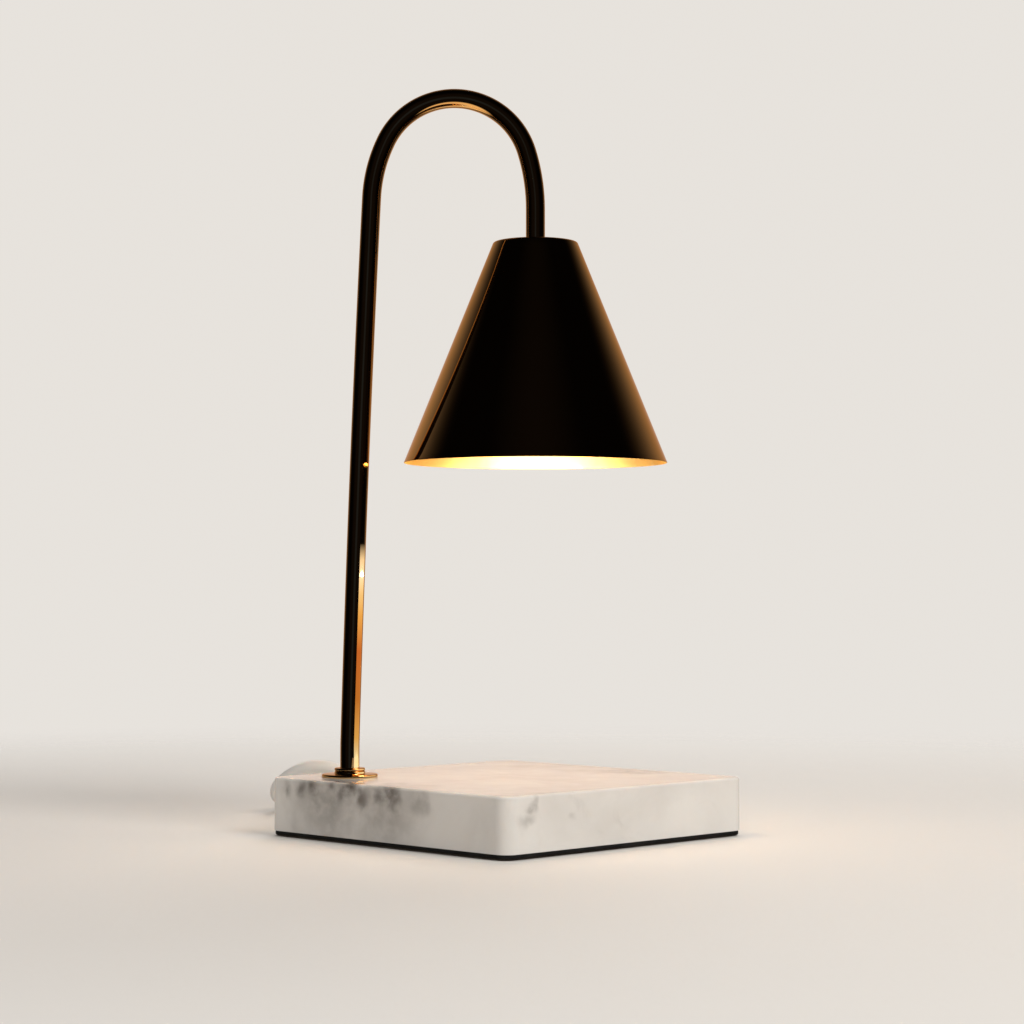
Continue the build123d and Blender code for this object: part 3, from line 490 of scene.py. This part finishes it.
marbleValues = {
    "white": (0.80, 0.775, 0.735),
    "cloud": (0.50, 0.465, 0.425),
    "grey": (0.135, 0.116, 0.1),
    "stretch": (1, 1, 1.1),
    "clouds": {"scale": 13.0, "detail": 6, "roughness": 0.52, "distortion": 0.5},
    "cloudEdge": (0.42, 0.74),
    "cloudStrength": 0.4,
    "haze": {"scale": 55.0, "detail": 5, "roughness": 0.55, "distortion": 0.8},
    "hazeEdge": (0.5, 0.72),
    "hazeStrength": 0.5,
    "mottle": {"scale": 150.0, "detail": 4, "roughness": 0.5},
    "drift": 0.012,    # how far the outlines of the darker places wander
    "driftScale": 95.0,
    "driftDetail": 2.0,
    "gloss": (0.3, 0.7, 0.08, 0.14),    # from the haze to the roughness
    "bump": (0.02, 0.0002),
    "fixed": {
        "Subsurface Weight": 0.15,
        "Subsurface Radius": (1.0, 0.8, 0.6),
        "Subsurface Scale": 0.003,
    },
    # from the mottle to the strength of each kind of darker place
    "mottled": {"smoky": (0.3, 0.66, 0.62, 1.0), "spots": (0.3, 0.64, 0.3, 1.0)},
    # the darker places: centre, reach, strength
    "smoky": [
        ((-0.0720, -0.0270, 0.0190), 0.0380, 0.62),
        ((-0.0500, -0.0490, 0.0160), 0.0340, 0.52),
        ((0.0450, 0.0350, 0.0240), 0.0300, 0.2),
    ],
    "spots": [
        ((-0.0902, -0.0088, 0.0195), 0.0058, 0.95),
        ((-0.0840, -0.0150, 0.0205), 0.0052, 0.75),
        ((-0.0790, -0.0200, 0.0205), 0.0058, 0.8),
        ((-0.0720, -0.0270, 0.0232), 0.0055, 0.6),
        ((-0.0640, -0.0350, 0.0212), 0.0105, 1.0),
        ((-0.0580, -0.0410, 0.0190), 0.0080, 0.8),
        ((-0.0470, -0.0520, 0.0212), 0.0085, 0.85),
        ((-0.0440, -0.0550, 0.0180), 0.0060, 0.7),
        ((-0.0337, -0.0653, 0.0175), 0.0090, 0.4),
        ((0.0095, -0.0895, 0.0205), 0.0050, 0.75),
        ((0.0080, -0.0910, 0.0150), 0.0060, 0.45),
        ((0.0256, -0.0733, 0.0138), 0.0035, 0.3),
        ((0.0560, 0.0250, 0.0240), 0.0200, 0.5),
        ((-0.0200, 0.0780, 0.0150), 0.0150, 0.7),
        ((0.0700, 0.0280, 0.0120), 0.0120, 0.6),
    ],
}


def darkPlaces(tree, place, mottle, values, kind):
    darkest = None
    for centre, reach, strength in values[kind]:
        distance = addNode(tree, "ShaderNodeVectorMath", operation="DISTANCE")
        tree.links.new(place, distance.inputs[0])
        distance.inputs[1].default_value = [
            part * stretch + values["drift"] / 2 for part, stretch in zip(centre, values["stretch"])
        ]
        near = rangeNode(tree, distance.outputs["Value"], reach, 0.0, 0.0, strength, smooth=True)
        darkest = near if darkest is None else mathNode(tree, "MAXIMUM", darkest, near)
    mottled = rangeNode(tree, mottle, *values["mottled"][kind], smooth=True)
    return mathNode(tree, "MULTIPLY", darkest, mottled)


def makeMarble(values):
    material, tree, shader = newMaterial("whiteMarble")
    place = tree.nodes.new("ShaderNodeTexCoord").outputs["Object"]
    clouds = noiseNode(tree, place, **values["clouds"])
    cloudMask = rangeNode(tree, clouds, *values["cloudEdge"], smooth=True)
    stretched = addNode(tree, "ShaderNodeMapping")
    stretched.inputs["Scale"].default_value = values["stretch"]
    tree.links.new(place, stretched.inputs["Vector"])
    drift = addNode(tree, "ShaderNodeTexNoise")
    drift.inputs["Scale"].default_value = values["driftScale"]
    drift.inputs["Detail"].default_value = values["driftDetail"]
    tree.links.new(place, drift.inputs["Vector"])
    # ragged outlines for the darker places
    drifted = addNode(tree, "ShaderNodeVectorMath", operation="MULTIPLY_ADD")
    tree.links.new(drift.outputs["Color"], drifted.inputs[0])
    drifted.inputs[1].default_value = (values["drift"],) * 3
    tree.links.new(stretched.outputs["Vector"], drifted.inputs[2])
    mottle = noiseNode(tree, stretched.outputs["Vector"], **values["mottle"])
    haze = noiseNode(tree, stretched.outputs["Vector"], **values["haze"])
    hazeEdge = rangeNode(tree, haze, *values["hazeEdge"], smooth=True)
    hazeMask = mathNode(tree, "MULTIPLY", hazeEdge, cloudMask)
    color = values["white"]
    for mask, strength in ((cloudMask, "cloudStrength"), (hazeMask, "hazeStrength")):
        amount = mathNode(tree, "MULTIPLY", mask, values[strength])
        color = mixColor(tree, amount, color, values["cloud"])
    for kind in ("smoky", "spots"):
        dark = darkPlaces(tree, drifted.outputs["Vector"], mottle, values, kind)
        color = mixColor(tree, dark, color, values["grey"])
    tree.links.new(color, shader.inputs["Base Color"])
    tree.links.new(rangeNode(tree, haze, *values["gloss"]), shader.inputs["Roughness"])
    bumpNode(tree, shader, clouds, *values["bump"])
    for label, value in values["fixed"].items():
        shader.inputs[label].default_value = value
    return material


materials["whiteMarble"] = makeMarble(marbleValues)

litGlassValues = {
    "frostedLens": {"glow": (1.0, 0.78, 0.5), "strength": 6.5, "roughness": (0.12, 0.3)},
    "capsuleGlass": {"glow": (1.0, 0.84, 0.62), "strength": 9.0, "roughness": (0.03, 0.1)},
}
# the same for both glasses
glassBody = {
    "rippleScale": 420.0,
    "rippleDetail": 3,
    "rippleEdge": (0.3, 0.7),
    "glowDip": 0.86,    # how much of the glow is left in the ripple's dips
    "bump": (0.2, 0.0003),
    "fixed": {"Base Color": (0.96, 0.94, 0.9, 1), "Transmission Weight": 0.6},
}


def makeLitGlass(name, values, body):
    material, tree, shader = newMaterial(name)
    place = tree.nodes.new("ShaderNodeTexCoord").outputs["Object"]
    ripple = noiseNode(tree, place, body["rippleScale"], detail=body["rippleDetail"])
    dimGlow = tuple(body["glowDip"] * part for part in values["glow"])
    glow = mixColor(tree, ripple, values["glow"], dimGlow)
    tree.links.new(glow, shader.inputs["Emission Color"])
    shader.inputs["Emission Strength"].default_value = values["strength"]
    for label, value in body["fixed"].items():
        shader.inputs[label].default_value = value
    roughness = rangeNode(tree, ripple, *body["rippleEdge"], *values["roughness"])
    tree.links.new(roughness, shader.inputs["Roughness"])
    bumpNode(tree, shader, ripple, *body["bump"])
    return material


for name, values in litGlassValues.items():
    materials[name] = makeLitGlass(name, values, glassBody)
print("finishes made:", len(materials))

nodeFinishes = {
    "whiteMarble": ["marble_base"],
    "foamRubber": ["base_pad"],
    "polishedGold": ["gooseneck_tube", "pole_flange", "pole_collar", "shade"],
    "platedSteel": [
        "pole_nipple", "pole_washer", "pole_lock_washer", "pole_nut", "holder_bracket",
        "shade_washer", "shade_nut", "shade_nipple", "bracket_screws", "clamp_screws",
        "dimmer_screws",
    ],
    "whiteCeramic": ["lamp_holder", "bulb_base"],
    "bareBrass": ["bulb_pins", "holder_contacts", "plug_blades"],
    "brightReflector": ["bulb_reflector"],
    "capsuleGlass": ["bulb_capsule"],
    "frostedLens": ["bulb_lens"],
    "whiteVinyl": [
        "cord_inner_end", "dimmer_cord_ends", "cord_lamp_side", "cord_plug_side",
        "cord_plug_end", "cord_coil", "cord_grommet", "dimmer_sleeves",
    ],
    "whiteMoulding": [
        "cord_clamp", "dimmer_case_bottom", "dimmer_case_top", "dimmer_wheel",
        "dimmer_spindle", "plug_body", "coil_tie",
    ],
    "leadCover": ["live_lead", "neutral_lead", "cord_cores", "splice_sleeves"],
    "circuitBoard": ["dimmer_board"],
    "blackMoulding": ["dimmer_pot", "dimmer_triac", "dimmer_capacitor"],
}


def dress(thing, material):
    thing.data.materials.clear()
    thing.data.materials.append(material)


for finish, names in nodeFinishes.items():
    for name in names:
        dress(nodes[name], materials[finish])
dress(lampCord, materials["whiteVinyl"])
dress(plugCord, materials["whiteVinyl"])
print("pieces dressed")

# pieces built here in place of the plain solids


def meshPiece(name, points, faces, smoothAngle=40):
    mesh = bpy.data.meshes.new(name)
    mesh.from_pydata(points, [], faces)
    mesh.validate()
    form = bmesh.new()
    form.from_mesh(mesh)
    bmesh.ops.recalc_face_normals(form, faces=form.faces)
    form.to_mesh(mesh)
    form.free()
    mesh.polygons.foreach_set("use_smooth", [True] * len(mesh.polygons))
    mesh.set_sharp_from_angle(angle=math.radians(smoothAngle))
    mesh.update()
    piece = bpy.data.objects.new(name, mesh)
    bpy.context.scene.collection.objects.link(piece)
    return piece


def lathe(name, profile, centre, segments):
    # a closed profile of (radius, height) pairs, turned about a vertical axis through the centre
    points = []
    for step in range(segments):
        angle = 2 * math.pi * step / segments
        for radius, height in profile:
            points.append((
                centre[0] + radius * math.cos(angle), centre[1] + radius * math.sin(angle), height,
            ))
    count = len(profile)
    faces = []
    for step in range(segments):
        here = step * count
        there = (step + 1) % segments * count
        for index in range(count):
            after = (index + 1) % count
            faces.append((here + index, there + index, there + after, here + after))
    return meshPiece(name, points, faces)


def roundedCorner(before, corner, after, radius, steps):
    # points of the arc that rounds one corner of a profile
    before, corner, after = (Vector(p) for p in (before, corner, after))
    toBefore = (before - corner).normalized()
    toAfter = (after - corner).normalized()
    half = toBefore.angle(toAfter) / 2
    middle = corner + (toBefore + toAfter).normalized() * (radius / math.sin(half))
    first = corner + toBefore * (radius / math.tan(half)) - middle
    last = corner + toAfter * (radius / math.tan(half)) - middle
    arc = []
    for step in range(steps + 1):
        part = step / steps
        arc.append(middle + (first * (1 - part) + last * part).normalized() * radius)
    return [(p.x, p.y) for p in arc]


def roundedProfile(corners, steps=6):
    # corners of (radius, height, rounding)
    profile = []
    for index, (radius, height, rounding) in enumerate(corners):
        before = corners[index - 1]
        after = corners[(index + 1) % len(corners)]
        if rounding:
            profile += roundedCorner(before[:2], (radius, height), after[:2], rounding, steps)
        else:
            profile.append((radius, height))
    return profile


shadeValues = {
    "axis": (0.0119049, 0.0),
    "top": 0.2469969,
    "height": 0.0925,
    "rimRadius": 0.055,
    "topRadius": 0.0176,
    "wall": 0.0008,
    "topThickness": 0.0012,
    "holeRadius": 0.0033,
    "topRounding": 0.0013,
    "innerRounding": 0.0006,
    "rimRounding": 0.3,       # of the wall
    "rings": 40,              # along the cone, so that its shading stays even
    "segments": 256,
    "facesInwards": -0.3,     # faces turned further than these count as the inside
    "facesDown": -0.5,
}


def makeShade(values):
    slope = (values["rimRadius"] - values["topRadius"]) / values["height"]
    across = values["wall"] * math.sqrt(1 + slope ** 2)
    rim = values["top"] - values["height"]
    innerTop = values["top"] - values["topThickness"]
    innerTopRadius = values["topRadius"] + slope * values["topThickness"] - across
    corners = [
        (values["holeRadius"], values["top"], 0),
        (values["topRadius"], values["top"], values["topRounding"]),
        (values["rimRadius"], rim, values["wall"] * values["rimRounding"]),
        (values["rimRadius"] - across, rim, values["wall"] * values["rimRounding"]),
        (innerTopRadius, innerTop, values["innerRounding"]),
        (values["holeRadius"], innerTop, 0),
    ]
    profile = []
    outline = roundedProfile(corners)
    for index, point in enumerate(outline):
        profile.append(point)
        after = outline[(index + 1) % len(outline)]
        if math.dist(point, after) > values["height"] / 2:
            for ringIndex in range(1, values["rings"]):
                part = ringIndex / values["rings"]
                profile.append(tuple(a + (b - a) * part for a, b in zip(point, after)))
    return lathe("shadeCone", profile, values["axis"], values["segments"])


def dressInside(piece, material, values):
    piece.data.materials.append(material)
    axisX, axisY = values["axis"]
    for face in piece.data.polygons:
        outwards = Vector((face.center.x - axisX, face.center.y - axisY, 0)).normalized()
        if face.normal.dot(outwards) < values["facesInwards"] or face.normal.z < values["facesDown"]:
            face.material_index = 1


shadeCone = makeShade(shadeValues)
dress(shadeCone, materials["polishedGold"])
dressInside(shadeCone, materials["warmGoldInside"], shadeValues)
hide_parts("shade")
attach(shadeCone, "lamp")

neckValues = {
    "foot": (-0.0653367, 0.024),
    "radius": 0.004,
    "bore": 0.00325,
    "segments": 48,
    "ringSpacing": 0.006,    # at most, and on bends no more than this many degrees
    "ringTurn": 2,
    # from the foot to the shade: straight lengths, and bends with their radius and degrees
    "runs": [
        ("line", 0.012),
        ("bend", 0.120, 1.55),
        ("bend", 10.391, 1.25),
        ("bend", 0.062, 22.7),
        ("bend", 0.03175, 137.4),
        ("bend", 0.082, 17.1),
        ("line", 0.014),
    ],
}


def neckPath(values):
    x, z = values["foot"]
    spacing = values["ringSpacing"]
    heading = math.pi / 2
    path = [(x, z, heading)]
    for kind, size, *turn in values["runs"]:
        if kind == "line":
            steps = max(1, round(size / spacing))
            for _ in range(steps):
                x += size / steps * math.cos(heading)
                z += size / steps * math.sin(heading)
                path.append((x, z, heading))
        else:
            angle = math.radians(turn[0])
            steps = max(2, round(turn[0] / values["ringTurn"]), round(size * angle / spacing))
            step = angle / steps
            for _ in range(steps):
                chord = 2 * size * math.sin(step / 2)
                x += chord * math.cos(heading - step / 2)
                z += chord * math.sin(heading - step / 2)
                heading -= step
                path.append((x, z, heading))
    return path


def makeNeck(values):
    path = neckPath(values)
    count = values["segments"]
    points = []
    sideways = Vector((0, 1, 0))
    for radius in (values["radius"], values["bore"]):
        for x, z, heading in path:
            across = Vector((math.sin(heading), 0, -math.cos(heading)))
            for step in range(count):
                angle = 2 * math.pi * step / count
                offset = across * math.cos(angle) * radius + sideways * math.sin(angle) * radius
                points.append((x + offset.x, offset.y, z + offset.z))
    rings = len(path)
    faces = []
    for ringIndex in range(rings - 1):
        for step in range(count):
            after = (step + 1) % count
            low, high = ringIndex * count, (ringIndex + 1) * count
            faces.append((low + step, low + after, high + after, high + step))
            low, high = low + rings * count, high + rings * count
            faces.append((low + step, high + step, high + after, low + after))
    for end, flip in ((0, False), (rings - 1, True)):
        for step in range(count):
            after = (step + 1) % count
            outer, inner = end * count, (rings + end) * count
            face = (outer + step, inner + step, inner + after, outer + after)
            faces.append(tuple(reversed(face)) if flip else face)
    return meshPiece("swanNeck", points, faces)


swanNeck = makeNeck(neckValues)
dress(swanNeck, materials["polishedGold"])
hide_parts("gooseneck_tube")
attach(swanNeck, "lamp")

footValues = {
    "centre": (-0.0653367, 0.0),
    "table": 0.024,
    "flangeRadius": 0.0116,
    "flangeThickness": 0.0013,
    "stepRadius": 0.00635,
    "step": 0.00125,
    "bore": 0.0041,
    "lowRounding": 0.0002,
    "flangeRounding": 0.0006,
    "innerRounding": 0.0004,    # where the flange meets its step
    "stepRounding": 0.0005,
    "boreRounding": 0.0001,
    "segments": 128,
}


def makeFoot(values):
    low = values["table"]
    middle = low + values["flangeThickness"]
    high = middle + values["step"]
    flange = lathe("footFlange", roundedProfile([
        (values["bore"], low, 0),
        (values["flangeRadius"], low, values["lowRounding"]),
        (values["flangeRadius"], middle, values["flangeRounding"]),
        (values["stepRadius"], middle, values["innerRounding"]),
        (values["stepRadius"], high, values["stepRounding"]),
        (values["bore"], high, 0),
    ]), values["centre"], values["segments"])
    collar = lathe("footCollar", roundedProfile([
        (values["bore"], high, 0),
        (values["stepRadius"], high, values["stepRounding"]),
        (values["stepRadius"], high + values["step"], values["stepRounding"]),
        (values["bore"], high + values["step"], values["boreRounding"]),
    ]), values["centre"], values["segments"])
    return flange, collar


footFlange, footCollar = makeFoot(footValues)
for piece, node in ((footFlange, "pole_flange"), (footCollar, "pole_collar")):
    dress(piece, materials["polishedGold"])
    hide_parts(node)
    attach(piece, "lamp")
print("shade, swan neck and foot built")

# studio: floor, background and lamps

studioValues = {
    "background": (0.80, 0.765, 0.72),
    "floor": (0.80, 0.77, 0.73),
    "floorRadius": 1.6,
    "floorSides": 96,
    "floorHeight": -0.0003,    # just clear of the faces that rest on it
    "floorFade": (0.28, 0.85),
    "floorFixed": {"Roughness": 0.7, "Specular IOR Level": 0.2},
    "ambient": (0.38, 0.37, 0.36),
    # what polished metal sees, as colours and the directions between which each one comes in
    "darkSide": (0.0012, 0.0009, 0.0009),
    "cameraSide": (0.0065, 0.005, 0.0045),
    "cameraSideEdge": (-0.4, -0.9),
    "faintLine": (0.014, 0.018, 0.028),    # straight back to the camera's side
    "faintLineEdge": (-0.965, -0.995),
    "litWall": (0.74, 0.57, 0.47),
    "litWallEdge": (0.0, 1.0),
    "litWallPower": 3.6,
    "litTable": (1.0, 0.72, 0.42),
    "litTableEdge": (-0.74, -0.86),
}


def makeFloor(values):
    count = values["floorSides"]
    radius, low = values["floorRadius"], values["floorHeight"]
    angles = [2 * math.pi * step / count for step in range(count)]
    points = [(0, 0, low)] + [
        (radius * math.cos(angle), radius * math.sin(angle), low) for angle in angles
    ]
    faces = [(0, 1 + step, 1 + (step + 1) % count) for step in range(count)]
    floor = meshPiece("studioFloor", points, faces)
    if floor.data.polygons[0].normal.z < 0:
        floor.data.flip_normals()
    material, tree, shader = newMaterial("paleFloor")
    place = tree.nodes.new("ShaderNodeTexCoord").outputs["Object"]
    length = addNode(tree, "ShaderNodeVectorMath", operation="LENGTH")
    tree.links.new(place, length.inputs[0])
    fade = rangeNode(tree, length.outputs["Value"], *values["floorFade"], 1.0, 0.0, smooth=True)
    # clear from below
    geometry = tree.nodes.new("ShaderNodeNewGeometry")
    fromAbove = mathNode(tree, "SUBTRACT", 1.0, geometry.outputs["Backfacing"])
    tree.links.new(mathNode(tree, "MULTIPLY", fade, fromAbove), shader.inputs["Alpha"])
    shader.inputs["Base Color"].default_value = (*values["floor"], 1)
    for label, value in values["floorFixed"].items():
        shader.inputs[label].default_value = value
    dress(floor, material)
    floor.visible_glossy = False


def makeWorld(values):
    world = bpy.data.worlds.new("studioWorld")
    bpy.context.scene.world = world
    world.use_nodes = True
    world.cycles.sampling_method = "NONE"
    tree = world.node_tree
    tree.nodes.clear()
    output = tree.nodes.new("ShaderNodeOutputWorld")
    background = tree.nodes.new("ShaderNodeBackground")
    tree.links.new(background.outputs["Background"], output.inputs["Surface"])
    direction = addNode(tree, "ShaderNodeSeparateXYZ")
    place = tree.nodes.new("ShaderNodeTexCoord").outputs["Generated"]
    tree.links.new(place, direction.inputs["Vector"])
    depth, height = direction.outputs["Y"], direction.outputs["Z"]
    front = rangeNode(tree, depth, *values["cameraSideEdge"], smooth=True)
    reflected = mixColor(tree, front, values["darkSide"], values["cameraSide"])
    line = rangeNode(tree, depth, *values["faintLineEdge"], smooth=True)
    reflected = mixColor(tree, line, reflected, values["faintLine"])
    behind = rangeNode(tree, depth, *values["litWallEdge"])
    behind = mathNode(tree, "POWER", behind, values["litWallPower"])
    reflected = mixColor(tree, behind, reflected, values["litWall"])
    below = rangeNode(tree, height, *values["litTableEdge"], smooth=True)
    reflected = mixColor(tree, below, reflected, values["litTable"])
    path = tree.nodes.new("ShaderNodeLightPath")
    color = mixColor(tree, path.outputs["Is Glossy Ray"], values["ambient"], reflected)
    seen = mathNode(tree, "MAXIMUM", path.outputs["Is Camera Ray"], path.outputs["Is Transmission Ray"])
    color = mixColor(tree, seen, color, values["background"])
    tree.links.new(color, background.inputs["Color"])


def rampLamp(data, ramp):
    # colours from one end of the lamp to the other
    data.use_nodes = True
    tree = data.node_tree
    along = addNode(tree, "ShaderNodeSeparateXYZ")
    geometry = tree.nodes.new("ShaderNodeNewGeometry")
    tree.links.new(geometry.outputs["Parametric"], along.inputs["Vector"])
    colors = addNode(tree, "ShaderNodeValToRGB")
    elements = colors.color_ramp.elements
    while len(elements) < len(ramp):
        elements.new(1.0)
    for element, (position, color) in zip(elements, ramp):
        element.position = position
        element.color = (*color, 1)
    tree.links.new(along.outputs["Y"], colors.inputs["Fac"])
    tree.links.new(colors.outputs["Color"], tree.nodes["Emission"].inputs["Color"])


def areaLamp(
    name, place, target, size, power, color=(1, 1, 1), height=None, inMetal=False, ramp=None, only=None,
):
    data = bpy.data.lights.new(name, "AREA")
    data.shape = "RECTANGLE" if height else "DISK"
    data.size = size
    if height:
        data.size_y = height
    data.energy = power
    data.color = color
    if ramp:
        rampLamp(data, ramp)
    lamp = bpy.data.objects.new(name, data)
    lamp.location = place
    lamp.rotation_euler = (Vector(target) - Vector(place)).to_track_quat("-Z", "Y").to_euler()
    lamp.visible_glossy = inMetal
    lamp.visible_camera = False
    if only:
        lamp.light_linking.receiver_collection = only
    bpy.context.scene.collection.objects.link(lamp)


lampValues = {
    "keyLamp": {
        "place": (0.9, -0.9, 1.0), "target": (0, 0, 0.1),
        "size": 0.7, "power": 14.0, "color": (1, 0.98, 0.95),
    },
    "fillLamp": {
        "place": (-0.9, -0.7, 0.7), "target": (0, 0, 0.1),
        "size": 0.8, "power": 1.1, "color": (1, 0.98, 0.96),
    },
    "backLamp": {
        "place": (0.2, 1.0, 0.9), "target": (0, 0, 0.1),
        "size": 0.7, "power": 6.0, "color": (1, 0.97, 0.94),
    },
    # the melting candle's glow, inside the shade and on the pole: only the gold pieces get it
    "waxGlow": {
        "place": (0.0119, 0, 0.106), "target": (0.0119, 0, 0.2),
        "size": 0.076, "power": 0.23, "color": (1, 0.95, 0.88), "inMetal": True,
    },
    "jarGlow": {
        "place": (-0.026, 0, 0.071), "target": (-0.1, 0, 0.071),
        "size": 0.06, "height": 0.098, "power": 0.037, "inMetal": True,
        "ramp": [
            (0.0, (0.5, 0.55, 0.55)),
            (0.08, (0.5, 0.55, 0.55)),
            (0.15, (0.43, 0.31, 0.13)),
            (0.32, (0.32, 0.145, 0.037)),
            (0.53, (0.36, 0.125, 0.04)),
            (0.69, (0.55, 0.38, 0.15)),
            (0.78, (0.6, 0.55, 0.4)),
            (0.86, (0.8, 0.8, 0.9)),
            (0.93, (0.6, 0.6, 0.6)),
            (1.0, (0.02, 0.02, 0.02)),
        ],
    },
}

makeFloor(studioValues)
makeWorld(studioValues)
goldPieces = bpy.data.collections.new("goldPieces")
for piece in (swanNeck, shadeCone, footFlange, footCollar):
    goldPieces.objects.link(piece)
for name, values in lampValues.items():
    areaLamp(name, only=goldPieces if values.get("inMetal") else None, **values)
bpy.context.scene.view_settings.view_transform = "Standard"
print("studio set")
